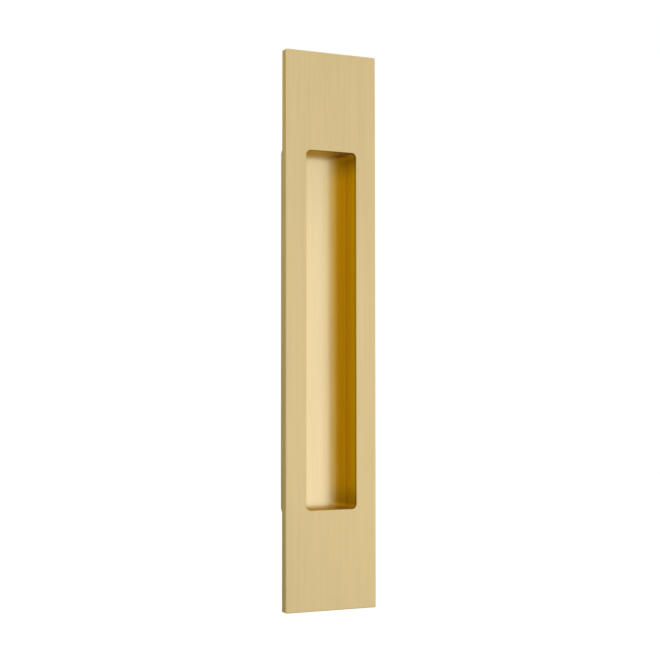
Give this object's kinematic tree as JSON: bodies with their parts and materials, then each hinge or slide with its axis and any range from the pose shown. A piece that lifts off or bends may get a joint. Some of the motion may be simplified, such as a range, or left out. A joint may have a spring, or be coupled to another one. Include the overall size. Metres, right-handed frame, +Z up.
{
  "type": "pocket door pull",
  "caption": "Tall rectangular flush pull for a sliding pocket door: flat brushed brass plate with a milled finger recess, a housing behind it and concealed tapped fixing lugs.",
  "frame": {"origin": "centre of the plate on the plane where its back meets the door's face", "axes": "+Z up along the plate's length, +Y into the door, +X across the plate"},
  "size_m": [0.05, 0.0145, 0.28],
  "materials": {
    "brushed_brass": "satin, brushed lengthwise"
  },
  "bodies": {
    "root": {"pull_body": "brushed_brass"}
  },
  "joints": []
}
